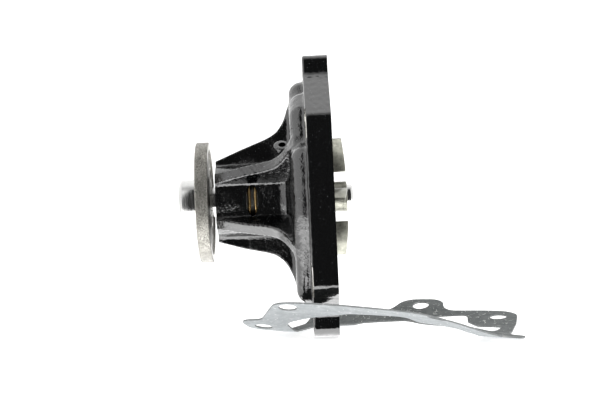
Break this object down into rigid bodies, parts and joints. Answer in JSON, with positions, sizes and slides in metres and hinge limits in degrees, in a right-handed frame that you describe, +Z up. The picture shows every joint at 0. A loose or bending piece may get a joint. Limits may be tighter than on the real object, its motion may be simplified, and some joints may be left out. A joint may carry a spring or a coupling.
{
  "type": "engine water pump",
  "caption": "Engine coolant pump: ribbed black cast housing, steel fan hub, ball bearing shaft, face seal, open-vane impeller and a loose fibre gasket.",
  "frame": {"origin": "on the shaft axis, in the plane of the housing's mounting face", "axes": "+X along the shaft towards the engine, +Z up with the foot at the bottom, +Y to the side with the third bolt ear"},
  "size_m": [0.1751, 0.1458, 0.1464],
  "materials": {
    "housing_paint": "glossy black paint over a pebbled sand casting",
    "gasket_fibre": "matt grey pressed fibre sheet",
    "hub_steel": "shot-blasted forged steel, turned faces",
    "shaft_steel": "ground bearing shaft",
    "bearing_steel": "ground bearing steel",
    "ball_steel": "polished balls",
    "cage_plastic": "moulded polyamide",
    "clip_wire": "yellow-plated spring wire",
    "seal_brass": "drawn brass",
    "spring_steel": "bright stainless wire and strip",
    "seal_carbon": "lapped carbon graphite",
    "seal_ceramic": "lapped alumina",
    "rubber": "moulded nitrile rubber",
    "slinger_plate": "zinc-plated pressing",
    "impeller_plate": "olive-grey plated pressed steel"
  },
  "bodies": {
    "housing": {"pump_housing": "housing_paint", "gasket": "gasket_fibre", "bearing_outer_race": "bearing_steel", "front_bearing_seal": "rubber", "rear_bearing_seal": "rubber", "bearing_retaining_wire": "clip_wire", "seal_cup": "seal_brass", "seal_bellows": "rubber", "seal_spring": "spring_steel", "seal_front_retainer": "spring_steel", "seal_rear_retainer": "spring_steel", "carbon_ring": "seal_carbon"},
    "rotor": {"hub_flange": "hub_steel", "bearing_shaft": "shaft_steel", "slinger": "slinger_plate", "impeller": "impeller_plate", "ceramic_seat": "seal_ceramic", "seat_rubber_cup": "rubber"},
    "front_ball_row": {"front_ball_1": "ball_steel", "front_ball_2": "ball_steel", "front_ball_3": "ball_steel", "front_ball_4": "ball_steel", "front_ball_5": "ball_steel", "front_ball_6": "ball_steel", "front_ball_7": "ball_steel", "front_ball_8": "ball_steel", "front_cage": "cage_plastic"},
    "rear_ball_row": {"rear_ball_1": "ball_steel", "rear_ball_2": "ball_steel", "rear_ball_3": "ball_steel", "rear_ball_4": "ball_steel", "rear_ball_5": "ball_steel", "rear_ball_6": "ball_steel", "rear_ball_7": "ball_steel", "rear_ball_8": "ball_steel", "rear_cage": "cage_plastic"}
  },
  "joints": [
    {"name": "shaft_spin", "type": "hinge", "parent": "housing", "child": "rotor", "pos_m": [0, 0, 0], "axis": [1, 0, 0], "continuous": true},
    {"name": "front_row_spin", "type": "hinge", "parent": "housing", "child": "front_ball_row", "pos_m": [-0.053, 0, 0], "axis": [1, 0, 0], "continuous": true},
    {"name": "rear_row_spin", "type": "hinge", "parent": "housing", "child": "rear_ball_row", "pos_m": [-0.034, 0, 0], "axis": [1, 0, 0], "continuous": true}
  ],
  "couplings": [
    {"joint": "front_row_spin", "follows": "shaft_spin", "ratio": 0.3833},
    {"joint": "rear_row_spin", "follows": "shaft_spin", "ratio": 0.3833}
  ]
}
